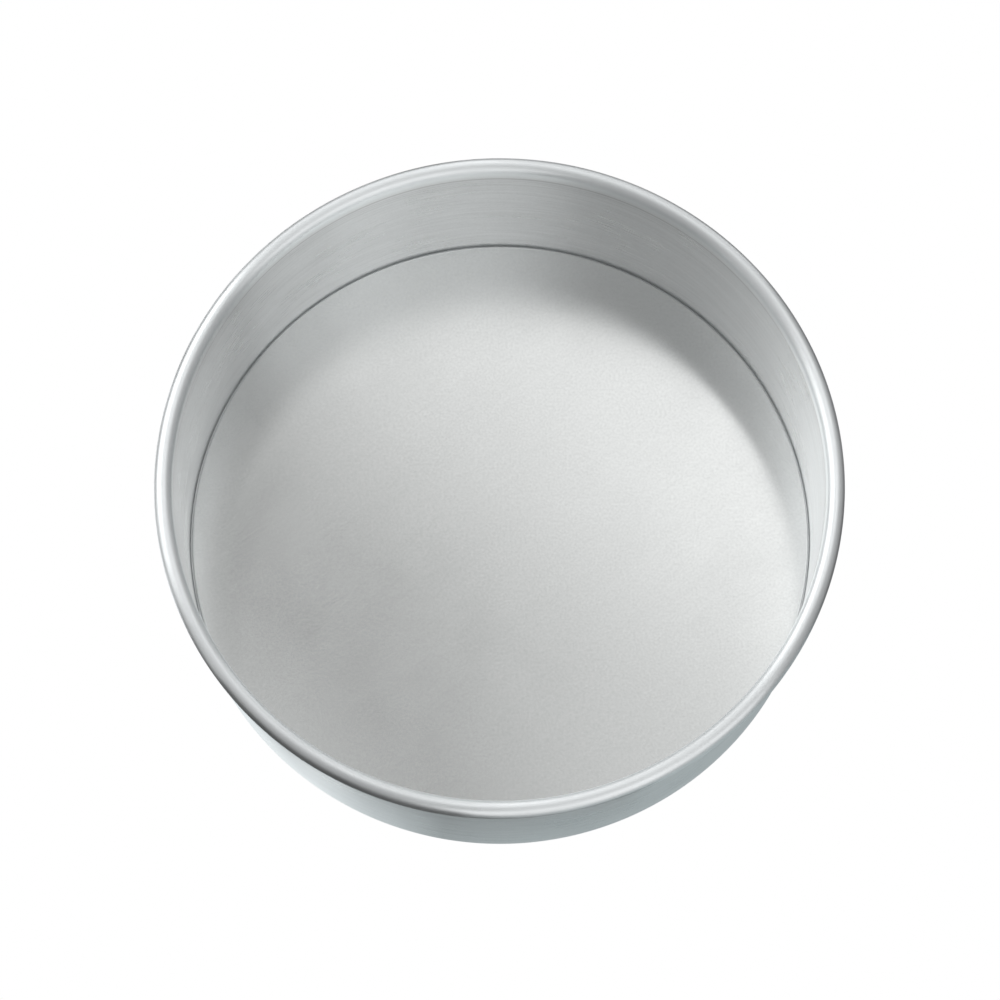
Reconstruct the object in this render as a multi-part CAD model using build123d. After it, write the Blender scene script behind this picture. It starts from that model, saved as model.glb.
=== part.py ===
"""A round, deep cake tin with a loose base, in millimetres.

The tin is a tube of thin sheet with a round rim at the top and a narrow ledge at the foot.
The rim is the sheet itself, rolled outward over a steel wire. The base is a separate flat disc
that drops in from above and lies on the ledge, and that is pushed up from below to free the cake.

+Z is up and is the tin's axis. The origin is the middle of the plane the tin stands on.
"""
from build123d import *
from math import acos, asin, atan2, cos, degrees, hypot, radians, sin, sqrt, tan
import os

# Tin
inner_diameter = 230.0  # between the upright walls: the cake's own size
tin_height = 75.0  # from the table to the top of the rim
sheet = 1.2  # thickness of the wall, and of the rim and ledge that are bent from it

# Rolled rim
wire_diameter = 3.8
wire_play = 0.05  # all round the wire, inside the roll
wire_end_gap = 0.5  # between the wire's two cut ends
rim_set_out = 0.2  # from the wall's inner face out to the rim's inner edge
neck_drop = 6.0  # from the top of the rim down to the neck, where the wall starts to lean out
neck_radius = 6.0  # of the neck's bend, along the middle of the sheet
curl_gap = 0.6  # from the wall's outer face to the tucked edge of the roll

# Foot and ledge
foot_inside_radius = 0.6  # of the bend from the wall to the ledge
ledge_width = 8.0  # from the wall's inner face to the ledge's free edge
ledge_edge_radius = 0.3  # where the burr was taken off

# Loose base
base_thickness = 1.6
base_play = 0.2  # from the base's edge to the start of the foot's bend
base_edge_radius = 0.5
base_lift_clear = 10.0  # how far the lifted base stands clear above the rim

# Worked out from the sizes above, shared by the pieces that fit together
wall_inside = inner_diameter / 2
wall_outside = wall_inside + sheet
half_sheet = sheet / 2
wire_radius = wire_diameter / 2
roll_inside = wire_radius + wire_play
roll_middle = roll_inside + half_sheet
roll_outside = roll_inside + sheet
rim_ring_radius = wall_inside + rim_set_out + roll_outside
rim_ring_height = tin_height - roll_outside
base_radius = wall_inside - foot_inside_radius - base_play
base_seat_height = sheet
base_lift = tin_height - base_seat_height + base_lift_clear


def sheet_section(start, heading, steps):
    """Draws the cut face of a bent sheet by walking along its middle line.

    A step is ("run", length) or ("bend", radius of the middle line, angle), and a bend to the
    left has a positive angle. Both faces of the sheet are drawn as the walk goes on.
    """
    left, right = [], []
    middle = Vector(*start)
    ahead = Vector(1, 0).rotate(Axis.Z, heading)
    for step in steps:
        side = ahead.rotate(Axis.Z, 90)
        if step[0] == "run":
            end = middle + ahead * step[1]
            left.append(Edge.make_line(middle + side * half_sheet, end + side * half_sheet))
            right.append(Edge.make_line(middle - side * half_sheet, end - side * half_sheet))
        else:
            _, bend_radius, angle = step
            turn = 1 if angle > 0 else -1
            centre = middle + side * bend_radius * turn
            for faces, spoke in (
                (left, side * (half_sheet - bend_radius * turn)),
                (right, side * (-half_sheet - bend_radius * turn)),
            ):
                faces.append(Edge.make_three_point_arc(
                    centre + spoke,
                    centre + spoke.rotate(Axis.Z, angle / 2),
                    centre + spoke.rotate(Axis.Z, angle),
                ))
            end = centre - (side * bend_radius * turn).rotate(Axis.Z, angle)
            ahead = ahead.rotate(Axis.Z, angle)
        middle = end
    first_cut = Edge.make_line(left[0] @ 0, right[0] @ 0)
    last_cut = Edge.make_line(left[-1] @ 1, right[-1] @ 1)
    return Face(Wire([*left, last_cut, *right, first_cut]))


def turned(section):
    """Turns a section drawn as radius and height once round the tin's axis."""
    return revolve(Plane.XZ * section, axis=Axis.Z)


def make_tin_wall():
    """The one-piece wall: ledge, foot bend, upright wall, neck and rolled rim."""
    foot_radius = foot_inside_radius + half_sheet
    wall_middle = wall_inside + half_sheet
    neck_height = tin_height - neck_drop

    # The leaning run is the tangent from the neck to the roll.
    out = rim_ring_radius - wall_middle
    up = rim_ring_height - neck_height
    reach = hypot(out, up)
    lean = atan2(out, up) - asin(roll_middle / reach)
    lean_length = sqrt(reach**2 - roll_middle**2)
    neck_cutback = neck_radius * tan(lean / 2)

    # The roll goes over the top and round, until its edge is the curl gap from the wall.
    edge_angle = acos((rim_ring_radius - wall_outside - curl_gap) / roll_outside)
    half_turn = radians(180)
    roll_turn = 2 * half_turn - lean - edge_angle

    ledge_start = wall_inside - ledge_width
    section = sheet_section((ledge_start, half_sheet), 0, [
        ("run", wall_middle - foot_radius - ledge_start),
        ("bend", foot_radius, 90),
        ("run", neck_height - neck_cutback - foot_radius - half_sheet),
        ("bend", neck_radius, -degrees(lean)),
        ("run", lean_length - neck_cutback),
        ("bend", roll_middle, -degrees(roll_turn)),
    ])
    wall = turned(section)
    ledge_corners = wall.edges().filter_by(GeomType.CIRCLE).filter_by(
        lambda edge: abs(edge.radius - ledge_start) < half_sheet
    )
    return fillet(ledge_corners, ledge_edge_radius)


def make_rim_wire():
    """The steel wire inside the rim: one length bent to a ring, its ends butted."""
    opening = degrees(wire_end_gap / rim_ring_radius)
    section = Pos(rim_ring_radius, rim_ring_height) * Circle(wire_radius)
    ring = revolve(Plane.XZ * section, axis=Axis.Z, revolution_arc=360 - opening)
    return Rot(0, 0, opening / 2) * ring


def make_loose_base():
    """The flat disc, its sharp edges taken off all round, lying on the ledge."""
    disc = Cylinder(base_radius, base_thickness, align=(Align.CENTER, Align.CENTER, Align.MIN))
    disc = fillet(disc.edges().filter_by(GeomType.CIRCLE), base_edge_radius)
    return Pos(0, 0, base_seat_height) * disc


pieces = {
    "tin_wall": make_tin_wall(),
    "rim_wire": make_rim_wire(),
    "loose_base": make_loose_base(),
}

os.makedirs("parts", exist_ok=True)
for name, shape in pieces.items():
    export_step(shape, f"parts/{name}.step")

print("across the rim:", round(2 * (rim_ring_radius + roll_outside), 2))
print("rim thickness:", round(2 * roll_outside, 2))
print("base diameter:", round(2 * base_radius, 2))
print("base lift:", round(base_lift, 2))
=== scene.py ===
# %% [markdown]
# # A round cake tin with a loose base, in Blender
#
# This notebook dresses a finished CAD model of a deep, round cake tin. The CAD model holds the sizes
# and the motion: the base lifts straight up out of the wall. Here each piece gets the fine, smooth
# mesh and the satin metal finish that a photograph of such a tin shows.
#
# The tin has three pieces. The wall is one sheet of aluminium, spun to a tube, turned in at the foot
# to a narrow ledge and rolled outward at the top over a steel wire. The base is a loose flat disc.

# %% Load the CAD frame
import bpy
from math import acos, asin, atan2, cos, degrees, hypot, pi, radians, sin, tan
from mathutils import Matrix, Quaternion, Vector


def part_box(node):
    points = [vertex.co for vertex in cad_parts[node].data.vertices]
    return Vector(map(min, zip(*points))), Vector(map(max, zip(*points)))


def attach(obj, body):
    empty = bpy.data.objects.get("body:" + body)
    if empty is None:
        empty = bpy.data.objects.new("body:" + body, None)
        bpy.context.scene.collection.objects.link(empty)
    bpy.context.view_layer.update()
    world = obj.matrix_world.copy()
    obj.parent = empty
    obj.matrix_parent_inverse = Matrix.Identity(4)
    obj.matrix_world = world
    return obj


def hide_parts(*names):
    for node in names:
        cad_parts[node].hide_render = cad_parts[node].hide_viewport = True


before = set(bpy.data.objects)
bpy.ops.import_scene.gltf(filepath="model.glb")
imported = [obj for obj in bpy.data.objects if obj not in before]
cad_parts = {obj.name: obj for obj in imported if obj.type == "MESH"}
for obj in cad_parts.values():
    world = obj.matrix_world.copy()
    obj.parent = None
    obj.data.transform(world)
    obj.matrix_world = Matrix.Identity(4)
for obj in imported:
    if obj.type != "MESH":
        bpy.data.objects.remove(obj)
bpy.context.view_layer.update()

# %% [markdown]
# ## Sizes
#
# Most sizes are read off the CAD pieces, so that the new meshes can't drift from them: the base lies
# on the ledge, so its underside gives the sheet's thickness, and the wire's box gives the centre of
# the rolled rim. Only what no box shows, such as the inside diameter, is written down again.

# %% Read the sizes from the frame
millimetre = 0.001

wall_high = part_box("tin_wall")[1]
base_low, base_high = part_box("loose_base")
wire_low, wire_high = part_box("rim_wire")

tin_height = wall_high.z
sheet = base_low.z
half_sheet = sheet / 2
base_thickness = base_high.z - base_low.z
base_radius = base_high.x
wire_radius = (wire_high.z - wire_low.z) / 2
rim_height = (wire_high.z + wire_low.z) / 2
rim_outside = tin_height - rim_height
rim_middle = rim_outside - half_sheet
rim_ring = wall_high.x - rim_outside

wall_inside = 115.0 * millimetre
wall_middle = wall_inside + half_sheet
wall_outside = wall_inside + sheet
ledge_width = 8.0 * millimetre
foot_bend = 1.2 * millimetre
neck_drop = 6.0 * millimetre
neck_bend = 6.0 * millimetre
curl_gap = 0.6 * millimetre
print("tin height:", round(tin_height, 4), "rim thickness:", round(2 * rim_outside, 4))
print("radius of the rim's middle:", round(rim_ring, 5))

# %% [markdown]
# ## Working by hand in code
#
# Everything is modelled with the same operators as in the window. An operator works on whatever is
# selected, and the loaded CAD pieces are, so each new piece starts from an empty selection. In edit
# mode, vertices are picked by where they are: a small helper selects those that pass a test.

# %% Helpers for selecting
def start_clean():
    """Leaves edit mode and deselects everything, so that the next operator meets only new work."""
    if bpy.context.object and bpy.context.object.mode != "OBJECT":
        bpy.ops.object.mode_set(mode="OBJECT")
    bpy.ops.object.select_all(action="DESELECT")


def name_piece(name):
    piece = bpy.context.object
    piece.name = name
    piece.data.name = name
    return piece


def pick(piece, kind, wanted):
    """Selects the vertices, edges or faces of a piece in edit mode for which wanted() is true."""
    bpy.ops.mesh.select_mode(type=kind)
    bpy.ops.mesh.select_all(action="DESELECT")
    bpy.ops.object.mode_set(mode="OBJECT")
    mesh = piece.data
    parts = {"VERT": mesh.vertices, "EDGE": mesh.edges, "FACE": mesh.polygons}[kind]
    chosen = 0
    for part in parts:
        part.select = wanted(part)
        chosen += part.select
    bpy.ops.object.mode_set(mode="EDIT")
    return chosen


def across(point):
    """A point's distance from the tin's axis."""
    return hypot(point.x, point.y)


def edge_ends(mesh, edge):
    return [mesh.vertices[i].co for i in edge.vertices]


# %% [markdown]
# ## The wall: a ring pulled up loop by loop
#
# A spinner presses a flat disc of sheet over a turning wooden form. The same shape comes here from a
# circle of vertices at the ledge's free edge: it is extruded outward along the ledge, round the foot
# bend, up the wall, out at the neck and over into the roll. A ready-made tube with bevels would be
# quicker, but it could not give the roll, whose edge is tucked back under itself.
#
# A full turn has 360 steps, so one step is a degree and the rim's outline shows no corners.

# %% Helpers for pulling a ring
def pull_ring(reach, radius, height):
    """Extrudes the selected loop, then scales and lifts it to a new radius and height."""
    old_radius, old_height = reach
    bpy.ops.mesh.extrude_region_move()
    grow = radius / old_radius
    bpy.ops.transform.resize(value=(grow, grow, 1.0), center_override=(0.0, 0.0, 0.0))
    bpy.ops.transform.translate(value=(0.0, 0.0, height - old_height))
    return radius, height


def pull_bend(reach, centre, turn_from, turn_to, steps):
    """Pulls the loop along an arc about a centre given as radius and height, in equal steps."""
    bend = hypot(reach[0] - centre[0], reach[1] - centre[1])
    for step in range(1, steps + 1):
        angle = turn_from + (turn_to - turn_from) * step / steps
        reach = pull_ring(reach, centre[0] + bend * cos(angle), centre[1] + bend * sin(angle))
    return reach


# %% [markdown]
# The leaning run between neck and roll is the straight tangent from the neck to the roll, so its
# angle is worked out from where the two stand.

# %% Pull the ring
steps_round = 360
upright_loops = 8

neck_height = tin_height - neck_drop
out, up = rim_ring - wall_middle, rim_height - neck_height
lean = atan2(out, up) - asin(rim_middle / hypot(out, up))
neck_cutback = neck_bend * tan(lean / 2)
edge_angle = acos((rim_ring - wall_outside - curl_gap) / rim_outside)

start_clean()
bpy.ops.mesh.primitive_circle_add(
    vertices=steps_round, radius=wall_inside - ledge_width, location=(0.0, 0.0, half_sheet)
)
wall = name_piece("wall_and_rim")
bpy.ops.object.transform_apply(location=True, rotation=True, scale=True)
bpy.ops.object.mode_set(mode="EDIT")
bpy.ops.mesh.select_all(action="SELECT")

ledge_from = wall_inside - ledge_width
ledge_to = wall_middle - foot_bend
reach = pull_ring((ledge_from, half_sheet), (ledge_from + ledge_to) / 2, half_sheet)
reach = pull_ring(reach, ledge_to, half_sheet)
reach = pull_bend(reach, (ledge_to, half_sheet + foot_bend), -pi / 2, 0.0, steps=6)
upright_from = reach[1]
upright_to = neck_height - neck_cutback
for step in range(1, upright_loops + 1):
    reach = pull_ring(reach, wall_middle, upright_from + (upright_to - upright_from) * step / upright_loops)
reach = pull_bend(reach, (wall_middle + neck_bend, upright_to), pi, pi - lean, steps=3)
reach = pull_ring(reach, rim_ring - rim_middle * cos(lean), rim_height + rim_middle * sin(lean))
reach = pull_bend(reach, (rim_ring, rim_height), pi - lean, edge_angle - pi, steps=30)
bpy.ops.object.mode_set(mode="OBJECT")
print("wall:", len(wall.data.vertices), "vertices in a single surface")
print("the neck leans out by", round(degrees(lean), 1), "degrees")

# %% [markdown]
# ## Thickness, and the two cut edges
#
# The Solidify modifier gives the surface the sheet's thickness, half to each side, because the ring
# was pulled along the middle of the sheet.

# %% Thicken the sheet
def apply_modifier(piece, kind, **settings):
    bpy.context.view_layer.objects.active = piece
    modifier = piece.modifiers.new(kind.title(), kind)
    for setting, value in settings.items():
        setattr(modifier, setting, value)
    bpy.ops.object.modifier_apply(modifier=modifier.name)


def point_outward(piece):
    bpy.ops.object.mode_set(mode="EDIT")
    bpy.ops.mesh.select_all(action="SELECT")
    bpy.ops.mesh.normals_make_consistent(inside=False)
    bpy.ops.object.mode_set(mode="OBJECT")


def soften_corners(piece, angle=30):
    """Shades a piece smooth, except across its real corners."""
    start_clean()
    piece.select_set(True)
    bpy.context.view_layer.objects.active = piece
    bpy.ops.object.shade_smooth_by_angle(angle=radians(angle))


apply_modifier(wall, "SOLIDIFY", thickness=sheet, offset=0.0, use_even_offset=True)
point_outward(wall)
print("wall:", len(wall.data.polygons), "faces once thickened")

# %% [markdown]
# The ledge's free edge is felt by every hand that lifts the base out, so its burr is taken off: the
# two sharp loops there get a small bevel. The other cut edge is tucked away under the rim and stays
# as it was cut.

# %% Round the ledge's edge
ledge_edge_radius = 0.3 * millimetre
edge_zone = wall_inside - ledge_width + half_sheet / 2


def on_free_edge(edge):
    """True on the two loops that end the ledge, and false for the short edges between them."""
    low, high = edge_ends(wall.data, edge)
    lies_flat = abs(low.z - high.z) < half_sheet / 2
    return lies_flat and across(low) < edge_zone and across(high) < edge_zone


bpy.ops.object.mode_set(mode="EDIT")
print("ledge: bevelling", pick(wall, "EDGE", on_free_edge), "edges")
bpy.ops.mesh.bevel(offset=ledge_edge_radius, segments=3, affect="EDGES")
bpy.ops.object.mode_set(mode="OBJECT")
soften_corners(wall)
print("wall:", len(wall.data.polygons), "faces")

# %% [markdown]
# ## The loose base: a disc with its edge broken
#
# The base is stamped from flat sheet, and its edges are rounded a little, so that they can't cut. On
# the real base that round catches the light as a fine line next to the dark gap. A filled circle is
# extruded to its thickness and bevelled along its two outer loops.

# %% Model the base
base_edge_radius = 0.5 * millimetre


def on_outline(edge):
    """True on the disc's two outlines, and false for the upright edges between them."""
    low, high = edge_ends(base.data, edge)
    return abs(low.z - high.z) < base_edge_radius


start_clean()
bpy.ops.mesh.primitive_circle_add(
    vertices=steps_round, radius=base_radius, fill_type="NGON", location=(0.0, 0.0, base_low.z)
)
base = name_piece("base_disc")
bpy.ops.object.transform_apply(location=True, rotation=True, scale=True)
bpy.ops.object.mode_set(mode="EDIT")
bpy.ops.mesh.select_all(action="SELECT")
bpy.ops.mesh.extrude_region_move(TRANSFORM_OT_translate={"value": (0.0, 0.0, base_thickness)})
bpy.ops.object.mode_set(mode="OBJECT")
point_outward(base)
bpy.ops.object.mode_set(mode="EDIT")
print("base: bevelling", pick(base, "EDGE", on_outline), "edges")
bpy.ops.mesh.bevel(offset=base_edge_radius, segments=5, affect="EDGES")

# %% [markdown]
# The two big faces have 360 corners each. They are inset in rings, the first one narrow so that the
# faces stay flat under smooth shading, and closed with a fan at the middle.

# %% Ring the flat faces
def many_cornered(face):
    return len(face.vertices) > 4


for inset in (0.6 * millimetre, 12.0 * millimetre, 45.0 * millimetre, 40.0 * millimetre):
    pick(base, "FACE", many_cornered)
    bpy.ops.mesh.inset(thickness=inset, use_even_offset=True)
pick(base, "FACE", many_cornered)
bpy.ops.mesh.poke()
bpy.ops.object.mode_set(mode="OBJECT")
soften_corners(base)
print("base:", len(base.data.polygons), "faces")

# %% [markdown]
# ## The wire inside the rim
#
# Nobody sees the wire in a finished tin, but it is there. It is a circle the size of the wire's
# section, spun round the tin's axis by a little less than a full turn: the small gap is where the
# two cut ends of the wire meet.

# %% Spin the wire
wire_end_gap = 0.5 * millimetre
opening = wire_end_gap / rim_ring
section_corners = 24
wire_steps = 240

start_clean()
bpy.ops.mesh.primitive_circle_add(
    vertices=section_corners, radius=wire_radius, fill_type="NGON",
    location=(rim_ring, 0.0, rim_height), rotation=(pi / 2, 0.0, 0.0)
)
wire = name_piece("wire_in_rim")
bpy.ops.object.transform_apply(location=True, rotation=True, scale=True)
bpy.ops.object.mode_set(mode="EDIT")
bpy.ops.mesh.select_all(action="SELECT")
bpy.ops.mesh.spin(
    steps=wire_steps, angle=2 * pi - opening, center=(0.0, 0.0, 0.0), axis=(0.0, 0.0, 1.0),
    use_auto_merge=False
)
bpy.ops.object.mode_set(mode="OBJECT")
point_outward(wire)
soften_corners(wire)
print("wire:", len(wire.data.polygons), "faces")

# %% [markdown]
# ## Onto the CAD model
#
# Each new piece takes the place of the CAD node that it was modelled on, and moves with that node's
# body: the wire is locked in the rim and moves with the wall, and the base moves by itself.

# %% Hang the pieces on the CAD bodies
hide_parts("tin_wall")
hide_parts("loose_base")
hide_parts("rim_wire")
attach(wall, "tin")
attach(wire, "tin")
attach(base, "base")
print("pieces:", wall.name, wire.name, base.name)

# %% [markdown]
# ## Materials from nodes
#
# Satin aluminium is a metal whose surface is covered in fine parallel lines. The lines are too thin
# to see one by one. They show as a soft glow that is drawn out across them, and here and there as a
# faint streak. So each metal here has three layers:
#
# - the glow, which is the shader's roughness and, on the sheet, its anisotropy;
# - lines and grain, which bend the surface a little through a Bump node;
# - changes in roughness and colour, from handling and the metal's skin, plus painted highlight and shade.
#
# All patterns are worked out from Object coordinates, in metres, so they stay where they are on the
# metal at any size. Wiring nodes by hand in the window is quick, but long in code, so a few helpers
# come first.

# %% Helpers for nodes
def join(tree, value, socket):
    """Gives a socket another node's output, or a plain value."""
    if isinstance(value, bpy.types.NodeSocket):
        tree.links.new(value, socket)
    else:
        socket.default_value = value


def calculate(tree, operation, *values):
    node = tree.nodes.new("ShaderNodeMath")
    node.operation = operation
    for value, socket in zip(values, node.inputs):
        join(tree, value, socket)
    return node.outputs[0]


def calculate_vector(tree, operation, *values):
    """The vector result, or for a length or a dot product the number."""
    node = tree.nodes.new("ShaderNodeVectorMath")
    node.operation = operation
    for value, socket in zip(values, node.inputs):
        join(tree, value, socket)
    return node.outputs["Value" if operation in ("LENGTH", "DOT_PRODUCT") else "Vector"]


def between(tree, value, low, high, result_low=0.0, result_high=1.0):
    """Takes a value's stretch from low to high to a new stretch, and stops at its ends."""
    node = tree.nodes.new("ShaderNodeMapRange")
    for name, setting in (("Value", value), ("From Min", low), ("From Max", high),
                          ("To Min", result_low), ("To Max", result_high)):
        join(tree, setting, node.inputs[name])
    return node.outputs["Result"]


def mix_colours(tree, share, first, second):
    node = tree.nodes.new("ShaderNodeMix")
    node.data_type = "RGBA"
    join(tree, share, node.inputs["Factor"])
    colours = [socket for socket in node.inputs if socket.type == "RGBA"]
    join(tree, first, colours[0])
    join(tree, second, colours[1])
    return next(socket for socket in node.outputs if socket.type == "RGBA")


def noise(tree, point, detail=2.0, coarseness=0.5, fourth=None):
    """Noise whose lumps are about one unit across, so the point carries the scale."""
    node = tree.nodes.new("ShaderNodeTexNoise")
    node.noise_dimensions = "3D" if fourth is None else "4D"
    join(tree, point, node.inputs["Vector"])
    if fourth is not None:
        join(tree, fourth, node.inputs["W"])
    node.inputs["Scale"].default_value = 1.0
    node.inputs["Detail"].default_value = detail
    node.inputs["Roughness"].default_value = coarseness
    return node.outputs["Fac"]


def bump(tree, height, depth, under=None):
    """Bends the surface by a height from 0 to 1, worth a depth in metres."""
    node = tree.nodes.new("ShaderNodeBump")
    node.inputs["Strength"].default_value = 1.0
    node.inputs["Distance"].default_value = depth
    join(tree, height, node.inputs["Height"])
    if under is not None:
        join(tree, under, node.inputs["Normal"])
    return node.outputs["Normal"]


def new_metal(name):
    material = bpy.data.materials.new(name)
    material.use_nodes = True
    tree = material.node_tree
    shader = tree.nodes["Principled BSDF"]
    shader.inputs["Metallic"].default_value = 1.0
    place = tree.nodes.new("ShaderNodeTexCoord").outputs["Object"]
    return material, tree, shader, place


# %% [markdown]
# ## Lines that run round the tin
#
# On a spun sheet the roller leaves its lines as rings round the axis. A pattern that changes quickly
# with height and with the distance from the axis, and slowly with the angle, gives such rings on the
# upright wall, on the flat ledge and over the round of the rim alike. The angle itself would jump
# once a turn and leave a seam, so the pattern reads the direction from the axis as a unit vector.
# Height goes with it as the third coordinate, and the distance as a fourth.

# %% Ring lines
def ring_lines(tree, place, line_width, line_length, detail=2.0, coarseness=0.5):
    """Noise in rings: lines about as wide and as long as given, in metres."""
    flat = calculate_vector(tree, "MULTIPLY", place, (1.0, 1.0, 0.0))
    distance = calculate_vector(tree, "LENGTH", flat)
    direction = calculate_vector(tree, "NORMALIZE", flat)
    around = wall_inside / line_length
    spread = calculate_vector(tree, "MULTIPLY", direction, (around, around, around))
    height = calculate_vector(tree, "MULTIPLY", place, (0.0, 0.0, 1.0 / line_width))
    point = calculate_vector(tree, "ADD", spread, height)
    outward = calculate(tree, "MULTIPLY", distance, 1.0 / line_width)
    return noise(tree, point, detail, coarseness, outward)


def grain(tree, place, size, detail=2.0, coarseness=0.5):
    """Noise with lumps of one size, in metres, in all directions."""
    point = calculate_vector(tree, "MULTIPLY", place, (1.0 / size,) * 3)
    return noise(tree, point, detail, coarseness)


# %% [markdown]
# ## Spun aluminium, for the wall and its rim
#
# The wall is brushed by the spinning tool, and the rim is burnished by the rolling die, though no
# smoother. One material covers both, because they are one sheet. The colour grows brighter from the
# wall up to the rim: a painted highlight, for the light that the rim catches.
#
# Where the upright wall ends, the tool stopped and turned outward. It left a crease there, and finer
# grooves below it, which show in the photograph as thin dark lines under the rim. Their sides mirror
# another part of the room, through the bump. The same profile also darkens the colour there, as
# painted shade in the crease and grooves.
#
# The anisotropy is the same all over, so it is a plain value on the shader's socket. Its tangent
# runs round the axis, and the quarter turn draws the glow out up and down the wall, across the lines.

# %% Make the spun aluminium
def groove(tree, height, middle, half_width):
    """A soft notch at one height: 1 in its middle, falling to 0 at its sides."""
    away = calculate(tree, "ABSOLUTE", calculate(tree, "SUBTRACT", height, middle))
    return between(tree, away, 0.0, half_width, 1.0, 0.0)


def spun_aluminium():
    material, tree, shader, place = new_metal("spun_aluminium")
    tangent = tree.nodes.new("ShaderNodeTangent")
    tangent.direction_type = "RADIAL"
    tangent.axis = "Z"
    join(tree, tangent.outputs["Tangent"], shader.inputs["Tangent"])
    shader.inputs["Anisotropic"].default_value = 0.9
    shader.inputs["Anisotropic Rotation"].default_value = 0.25

    fine = ring_lines(tree, place, 0.35 * millimetre, 40 * millimetre, 3.0, 0.6)
    brushing = ring_lines(tree, place, 1.3 * millimetre, 22 * millimetre, 2.0, 0.6)
    ridges = ring_lines(tree, place, 2.2 * millimetre, 160 * millimetre, 2.0, 0.5)
    clouds = grain(tree, place, 25 * millimetre, 3.0, 0.6)
    speckle = grain(tree, place, 0.8 * millimetre, 1.0, 0.5)

    axes = tree.nodes.new("ShaderNodeSeparateXYZ")
    join(tree, place, axes.inputs["Vector"])
    height = axes.outputs["Z"]
    burnish_and_highlight = between(tree, height, tin_height - neck_drop, rim_height)
    wall_roughness = between(tree, clouds, 0.3, 0.7, 0.27, 0.33)
    line_roughness = between(tree, fine, 0.3, 0.7, -0.03, 0.03)
    rim_roughness = calculate(tree, "MULTIPLY_ADD", burnish_and_highlight, 0.02, wall_roughness)
    join(tree, calculate(tree, "ADD", rim_roughness, line_roughness), shader.inputs["Roughness"])

    grooves = groove(tree, height, upright_to, 0.7 * millimetre)
    # Each finer groove: how many millimetres it lies below the crease, and how strong it is.
    for below, strength in ((2.1, 0.45), (3.6, 0.3), (5.6, 0.35)):
        finer = groove(tree, height, upright_to - below * millimetre, 0.5 * millimetre)
        grooves = calculate(tree, "MULTIPLY_ADD", finer, strength, grooves)

    dull, bright = (0.775, 0.79, 0.796, 1.0), (0.91, 0.926, 0.933, 1.0)
    painted_rim_highlight, painted_crease_shade = (0.94, 0.97, 0.98, 1.0), (0.6, 0.61, 0.61, 1.0)
    tone = calculate(tree, "ADD", between(tree, brushing, 0.3, 0.7, 0.0, 0.65),
                     between(tree, speckle, 0.3, 0.7, 0.0, 0.35))
    spun = mix_colours(tree, tone, dull, bright)
    # The rim's paler colour is a painted highlight.
    spun = mix_colours(tree, burnish_and_highlight, spun, painted_rim_highlight)
    # The crease and grooves are darkened in colour: painted shade.
    join(tree, mix_colours(tree, grooves, spun, painted_crease_shade), shader.inputs["Base Color"])

    surface = bump(tree, calculate(tree, "MULTIPLY", grooves, -1.0), 0.03 * millimetre)
    surface = bump(tree, ridges, 0.006 * millimetre, surface)
    surface = bump(tree, fine, 0.0012 * millimetre, surface)
    join(tree, surface, shader.inputs["Normal"])
    return material


# %% [markdown]
# ## Rolled aluminium, for the base
#
# The base is cut from sheet as it comes from the rolling mill, so its lines are straight and run
# one way across the whole disc. In the photograph they slope up to the right. The glow is drawn out
# across them, which is why the dark mirror image of the wall has a soft edge at the left and a much
# sharper one at the right. The lines themselves are faint. More of the skin's look is a sandy grain,
# and two families of thin scratches cross it.
#
# The Tangent node needs a UV map to know the direction of the lines. The map is laid flat over the
# disc and turned, so that U runs across them.

# %% Lay the base's UV map along its lines
line_angle = radians(35.0)
across_lines = line_angle + pi / 2

grain_map = base.data.uv_layers.new(name="across_lines")
for loop in base.data.loops:
    point = base.data.vertices[loop.vertex_index].co
    grain_map.data[loop.index].uv = (
        (point.x * cos(across_lines) + point.y * sin(across_lines)) / (2 * base_radius) + 0.5,
        (point.y * cos(across_lines) - point.x * sin(across_lines)) / (2 * base_radius) + 0.5,
    )
print("UV map:", grain_map.name, "on", len(base.data.loops), "corners")


# %% Make the rolled aluminium
def straight_lines(tree, place, angle, line_width, line_length, detail=2.0, coarseness=0.5):
    """Noise drawn out in one direction over the flat of the base."""
    turn = tree.nodes.new("ShaderNodeMapping")
    turn.vector_type = "TEXTURE"
    turn.inputs["Rotation"].default_value = (0.0, 0.0, angle)
    join(tree, place, turn.inputs["Vector"])
    scale = (1.0 / line_length, 1.0 / line_width, 1.0 / line_width)
    point = calculate_vector(tree, "MULTIPLY", turn.outputs["Vector"], scale)
    return noise(tree, point, detail, coarseness)


def scratches(tree, place, angle, line_width, line_length):
    """Only the highest crests of drawn-out noise: thin lines, far apart."""
    lines = straight_lines(tree, place, angle, line_width, line_length, 1.0, 0.4)
    return between(tree, lines, 0.74, 0.8)


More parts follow.
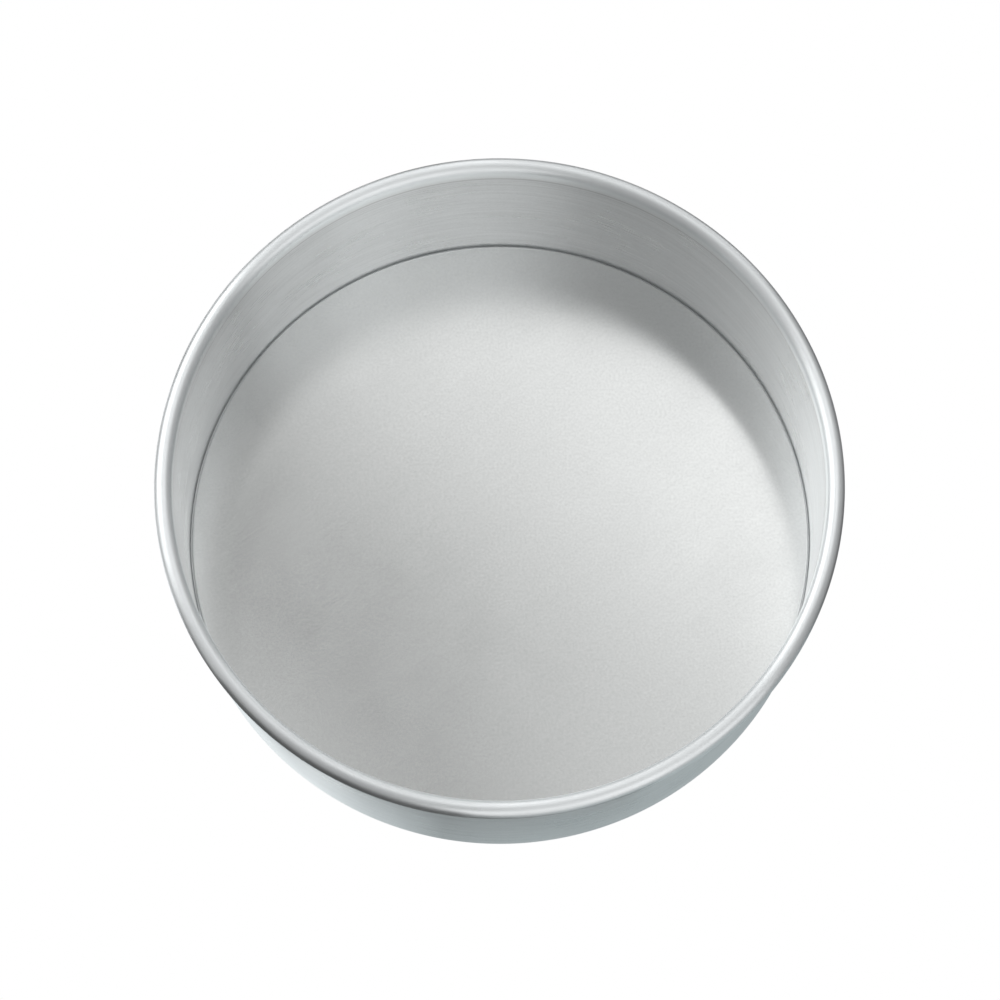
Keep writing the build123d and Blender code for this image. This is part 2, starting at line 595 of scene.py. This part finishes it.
def rolled_aluminium():
    material, tree, shader, place = new_metal("rolled_aluminium")
    tangent = tree.nodes.new("ShaderNodeTangent")
    tangent.direction_type = "UV_MAP"
    tangent.uv_map = grain_map.name
    join(tree, tangent.outputs["Tangent"], shader.inputs["Tangent"])
    shader.inputs["Anisotropic"].default_value = 0.9

    fine = straight_lines(tree, place, line_angle, 0.4 * millimetre, 12 * millimetre, 3.0, 0.6)
    streaks = straight_lines(tree, place, line_angle, 2.5 * millimetre, 60 * millimetre, 2.0, 0.5)
    speckle = grain(tree, place, 0.9 * millimetre, 2.0, 0.6)
    clouds = grain(tree, place, 30 * millimetre, 3.0, 0.6)
    long_marks = scratches(tree, place, radians(62), 0.25 * millimetre, 14 * millimetre)
    short_marks = scratches(tree, place, radians(-28), 0.25 * millimetre, 9 * millimetre)
    marks = calculate(tree, "MAXIMUM", long_marks, short_marks)

    roughness = calculate(tree, "ADD", between(tree, clouds, 0.3, 0.7, 0.165, 0.2),
                          between(tree, fine, 0.3, 0.7, -0.015, 0.015))
    join(tree, calculate(tree, "MULTIPLY_ADD", marks, 0.08, roughness), shader.inputs["Roughness"])

    dull, bright = (0.805, 0.821, 0.813, 1.0), (0.893, 0.909, 0.901, 1.0)
    tone = calculate(tree, "ADD", between(tree, streaks, 0.3, 0.7, 0.0, 0.12),
                     between(tree, speckle, 0.3, 0.7, 0.0, 0.88))
    join(tree, mix_colours(tree, tone, dull, bright), shader.inputs["Base Color"])

    surface = bump(tree, streaks, 0.0022 * millimetre)
    surface = bump(tree, fine, 0.0008 * millimetre, surface)
    surface = bump(tree, speckle, 0.0015 * millimetre, surface)
    join(tree, surface, shader.inputs["Normal"])
    return material


# %% [markdown]
# ## Drawn steel, for the wire
#
# Wire is pulled through a die, so its lines run along it, which is round the tin here too. It is
# greyer and duller than the sheet round it.

# %% Make the drawn steel
def drawn_steel():
    material, tree, shader, place = new_metal("drawn_steel")
    lines = ring_lines(tree, place, 0.15 * millimetre, 60 * millimetre, 3.0, 0.6)
    stains = grain(tree, place, 6 * millimetre, 4.0, 0.6)
    join(tree, between(tree, stains, 0.3, 0.7, 0.32, 0.48), shader.inputs["Roughness"])
    tone = between(tree, calculate(tree, "MULTIPLY", lines, stains), 0.1, 0.4)
    stained, clean = (0.38, 0.37, 0.36, 1.0), (0.56, 0.56, 0.57, 1.0)
    join(tree, mix_colours(tree, tone, stained, clean), shader.inputs["Base Color"])
    join(tree, bump(tree, lines, 0.002 * millimetre), shader.inputs["Normal"])
    return material


wall.data.materials.append(spun_aluminium())
base.data.materials.append(rolled_aluminium())
wire.data.materials.append(drawn_steel())
print("materials:", [piece.data.materials[0].name for piece in (wall, base, wire)])

# %% [markdown]
# ## Two floors, one for the camera and one for the metal
#
# The photograph shows nothing but white round the tin. A studio does that by lighting a white sweep
# until it burns out, but a sweep that bright, right under the tin, would also shine up into the metal
# and wash out its dark lines. A retoucher solves it with a cut-out. Here two floors solve it:
#
# - the table, dark and matt, which only the metal sees: it draws the dark line along the rim;
# - the sweep, which only the camera sees. It glows, so that it is even white, as in the photograph.
#
# Who sees an object is a setting under Object Properties, Visibility. Both floors lie a hair below
# the tin's foot, so that they share no plane with it.

# %% Lay the table
def matt(name, colour, glow=0.0, light=(1.0, 1.0, 1.0)):
    """A matt material in one shade of grey, which may also give off some light of any colour."""
    material = bpy.data.materials.new(name)
    material.use_nodes = True
    shader = material.node_tree.nodes["Principled BSDF"]
    shader.inputs["Base Color"].default_value = (colour, colour, colour, 1.0)
    shader.inputs["Roughness"].default_value = 0.9
    shader.inputs["Specular IOR Level"].default_value = 0.0
    shader.inputs["Emission Color"].default_value = (*light, 1.0)
    shader.inputs["Emission Strength"].default_value = glow
    # Large weak glows aren't sampled as lamps, which would only slow the render.
    material.cycles.emission_sampling = "NONE"
    return material


sweep_drop = -0.1 * millimetre
table_drop = -0.3 * millimetre
table_size = 6.0

start_clean()
bpy.ops.mesh.primitive_plane_add(size=table_size, location=(0.0, 0.0, table_drop))
table = name_piece("table")
table.data.materials.append(matt("dark_table", 0.15))
table.visible_camera = False
print("table:", table.name, "across", table_size)

# %% [markdown]
# The sweep is pulled from a circle as the wall was, out over the floor and up at a wide cove, so that
# low views end in white.

# %% Pull the sweep
sweep_middle = 0.5
sweep_steps = 96
sweep_radius = 4.0
cove_radius = 1.5
sweep_height = 5.0

start_clean()
bpy.ops.mesh.primitive_circle_add(
    vertices=sweep_steps, radius=sweep_middle, fill_type="NGON", location=(0.0, 0.0, sweep_drop)
)
sweep = name_piece("white_sweep")
bpy.ops.object.transform_apply(location=True, rotation=True, scale=True)
bpy.ops.object.mode_set(mode="EDIT")
bpy.ops.mesh.select_mode(type="EDGE")
bpy.ops.mesh.select_all(action="SELECT")
bpy.ops.mesh.region_to_loop()
reach = pull_ring((sweep_middle, sweep_drop), sweep_radius - cove_radius, sweep_drop)
reach = pull_bend(
    reach, (sweep_radius - cove_radius, sweep_drop + cove_radius), -pi / 2, 0.0, steps=12
)
pull_ring(reach, sweep_radius, sweep_height)
bpy.ops.object.mode_set(mode="OBJECT")
soften_corners(sweep)
sweep.data.materials.append(matt("white_paper", 0.0, glow=1.0))
for ray in ("diffuse", "glossy", "transmission", "shadow"):
    setattr(sweep, "visible_" + ray, False)

print("stage:", table.name, sweep.name)

# %% [markdown]
# ## Pale cards and a black flag
#
# On a dark table alone, the outer wall and the underside of the rim would go black. So pale cards
# lie round the front of the tin, and the metal mirrors them. The photograph tells where: the outer
# wall is brightest at the front left, where a thin light line also follows the rim, and it is evenly
# grey from there to the right. Between cards and horizon the table stays dark, and the rim mirrors
# that as the soft dark line that parts it from the wall. At the left and back left the rim is bright
# out to its edge, so cards lie there too. The outer wall is a little bluer from the front to the
# right, and so are the cards there. At the front left the rim has its darkest and broadest band, so a
# black flag stands there and hides the room.
#
# The cards glow by themselves. Real cards would have to be lit, and that light would reach the tin.

# %% Lay the cards
white_paper = (1.0, 1.0, 1.0)
pale_paper = (0.95, 1.0, 1.01)
cool_paper = (0.88, 1.0, 1.02)
card_step = 0.01 * millimetre
cards = []


def card(name, azimuth, near, width, length, glow, paper):
    """A glowing card flat on the table, across one direction, its near edge at a distance.

    Each card lies a little higher than the last, so that overlapping cards share no plane.
    """
    start_clean()
    turn = radians(azimuth)
    middle = near + length / 2
    height = sweep_drop + card_step * (1 + len(cards))
    bpy.ops.mesh.primitive_plane_add(
        size=1.0, location=(middle * cos(turn), middle * sin(turn), height), rotation=(0.0, 0.0, turn)
    )
    piece = name_piece(name)
    piece.scale = (length, width, 1.0)
    bpy.ops.object.transform_apply(location=True, rotation=True, scale=True)
    piece.data.materials.append(matt(name + "_paper", 0.0, glow, paper))
    piece.visible_camera = False
    cards.append(piece)


card("card_back_left", 126, 0.117, 0.15, 0.12, 1.1, white_paper)
card("card_left", 172, 0.117, 0.16, 0.12, 1.2, white_paper)
card("card_front_wide", 305, 0.21, 0.45, 0.50, 0.45, cool_paper)
card("card_right", 320, 0.118, 0.13, 0.085, 0.45, cool_paper)
print("cards:", [piece.name for piece in cards])

# %% [markdown]
# The card next to the foot is a ring. The wall mirrors it so closely that the edges between separate
# cards would show as steps, so it is one piece, and its glow and colour change smoothly with the
# direction from the axis.

# %% Lay the ring
def towards(tree, direction, azimuth, low, high, result_high):
    """Rises from 0 to a value as a direction from the axis nears an azimuth, given in degrees."""
    turn = radians(azimuth)
    nearness = calculate_vector(tree, "DOT_PRODUCT", direction, (cos(turn), sin(turn), 0.0))
    return between(tree, nearness, low, high, 0.0, result_high)


def ring_paper():
    """Paper that glows white to the left, weaker and cooler to the front, and not at the back right."""
    material = matt("ring_paper", 0.0)
    tree = material.node_tree
    shader = tree.nodes["Principled BSDF"]
    place = tree.nodes.new("ShaderNodeTexCoord").outputs["Object"]
    direction = calculate_vector(tree, "NORMALIZE", place)
    glow_left = towards(tree, direction, 165, -0.38, 0.38, 1.05)
    glow_front = towards(tree, direction, 300, 0.0, 0.5, 0.42)
    glow = calculate(tree, "MAXIMUM", glow_left, glow_front)
    paleness = towards(tree, direction, 165, -0.38, 0.38, 1.0)
    paper = mix_colours(tree, paleness, (*cool_paper, 1.0), (*pale_paper, 1.0))
    join(tree, glow, shader.inputs["Emission Strength"])
    join(tree, paper, shader.inputs["Emission Color"])
    return material


ring_near = 115.5 * millimetre
ring_far = 152.0 * millimetre
ring_height = sweep_drop / 4
ring_steps = 96

start_clean()
bpy.ops.mesh.primitive_circle_add(vertices=ring_steps, radius=ring_near, location=(0.0, 0.0, ring_height))
ring = name_piece("card_ring")
bpy.ops.object.transform_apply(location=True, rotation=True, scale=True)
bpy.ops.object.mode_set(mode="EDIT")
bpy.ops.mesh.select_all(action="SELECT")
pull_ring((ring_near, ring_height), ring_far, ring_height)
bpy.ops.object.mode_set(mode="OBJECT")

ring.data.materials.append(ring_paper())
ring.visible_camera = False
print("ring:", ring.name, "with", len(ring.data.polygons), "faces")

# %% Stand the flag
flag_turn = radians(236)
flag_distance = 0.22
flag_width = 0.22
flag_height = 0.12
flag_place = (flag_distance * cos(flag_turn), flag_distance * sin(flag_turn), flag_height / 2)

start_clean()
bpy.ops.mesh.primitive_plane_add(
    size=1.0, location=flag_place, rotation=(pi / 2, 0.0, flag_turn + pi / 2)
)
flag = name_piece("black_flag")
flag.scale = (flag_width, flag_height, 1.0)
bpy.ops.object.transform_apply(location=True, rotation=True, scale=True)
# The black cloth also glows faintly, as painted light.
flag.data.materials.append(matt("black_cloth", 0.02, glow=0.04))
flag.visible_camera = False
print("flag:", flag.name, "at", flag_distance)

# %% [markdown]
# ## The camera
#
# The photograph looks down into the tin from about 73 degrees above the horizontal, at a moderate
# distance: the base, 75 mm further away than the rim, is a little smaller than it. The picture is
# turned by about half a degree. The lens and the aim come from matching the rim's and the base's
# outlines. The camera is aimed by turning it, so it needs no shift.

# %% Set up the camera
camera_elevation = radians(72.7)
camera_distance = 1.2
camera_roll = radians(-0.55)
focal_length = 123.1
sensor_width = 36.0
picture_width = 1000
rim_in_picture = (-0.72, 23.3)  # pixels right of and above the picture's middle

rim_top = Vector((0.0, 0.0, tin_height))
backward = Vector((0.0, -cos(camera_elevation), sin(camera_elevation)))
bpy.ops.object.camera_add(location=rim_top + backward * camera_distance)
camera = bpy.context.object
camera.name = "photo_camera"
camera.data.sensor_width = sensor_width
camera.data.lens = focal_length
camera.data.clip_start = 0.01

focal_pixels = focal_length / sensor_width * picture_width
to_rim = Vector((*rim_in_picture, -focal_pixels)).normalized()
aim = backward.to_track_quat("Z", "Y") @ Quaternion((0.0, 0.0, 1.0), camera_roll)
camera.rotation_mode = "QUATERNION"
camera.rotation_quaternion = aim @ to_rim.rotation_difference(Vector((0.0, 0.0, -1.0)))
bpy.context.scene.camera = camera
print("camera:", round(focal_length, 1), "mm at", camera_distance, "m")

# %% [markdown]
# ## Soft light from all round, most of it from the back left
#
# Metal has little look of its own: it shows the lights. So the softboxes are laid out from what the
# tin mirrors, and their brightness was set by comparing render and photograph, place by place. The
# bright inner wall at the right faces the big boxes at the back left. The base mirrors a box above
# and behind it, and is darkest where that box ends. The wall at the back faces the front, where the
# light is weaker, and so it is the darkest part of the inside.
#
# Each softbox stands on a dome of two metres round the tin. It is given by where it stands and by how
# wide and high it looks from the tin, all in degrees, and by its brightness, where 1 looks white. The
# power that the lamp needs follows from its area. What is left of the room is evenly dim.

# %% Hang the softboxes
dome_radius = 2.0
room_brightness = 0.35


def softbox(name, azimuth, elevation, width, height, brightness):
    """An area light that faces the tin: angles in degrees, azimuth from the right, going left."""
    around, up = radians(azimuth), radians(elevation)
    direction = Vector((cos(up) * cos(around), cos(up) * sin(around), sin(up)))
    bpy.ops.object.light_add(type="AREA", location=direction * dome_radius)
    lamp = bpy.context.object
    lamp.name = name
    lamp.rotation_euler = direction.to_track_quat("Z", "Y").to_euler()
    lamp.data.shape = "RECTANGLE"
    lamp.data.size = 2 * dome_radius * tan(radians(width / 2))
    lamp.data.size_y = 2 * dome_radius * tan(radians(height / 2))
    lamp.data.energy = brightness * pi * lamp.data.size * lamp.data.size_y
    lamp.visible_camera = False
    return lamp


lamps = [softbox(*settings) for settings in (
    ("key_low_back", 112, 28, 40, 26, 0.85),
    ("key_low_left", 157, 28, 40, 26, 0.55),
    ("key_far_left", 175, 25, 20, 30, 0.4),
    ("key_middle", 146, 43, 33, 39, 1.2),
    ("key_upper", 146, 73, 13, 23, 0.35),
    ("left_high", 182, 55, 22, 22, 0.25),
    ("back", 64, 62, 39, 26, 0.55),
    ("back_middle", 95, 50, 30, 20, 0.3),
    ("back_low", 72, 20, 42, 24, 0.6),
    ("right_back", 49, 73, 13, 23, 0.4),
    ("front_upper", 296, 74, 22, 25, 0.2),
    ("front_middle", 296, 40, 63, 43, 0.6),
    ("front_right", 320, 54, 26, 18, 0.2),
    ("front_low", 285, 12, 40, 24, 0.2),
    ("left_low", 195, 15, 40, 28, 0.15),
)]

world = bpy.data.worlds.new("studio")
world.use_nodes = True
world.node_tree.nodes["Background"].inputs["Color"].default_value = (1.0, 1.0, 1.0, 1.0)
world.node_tree.nodes["Background"].inputs["Strength"].default_value = room_brightness
bpy.context.scene.world = world
bpy.context.scene.view_settings.view_transform = "Standard"
print("lights:", len(lamps), "softboxes and a dim room")
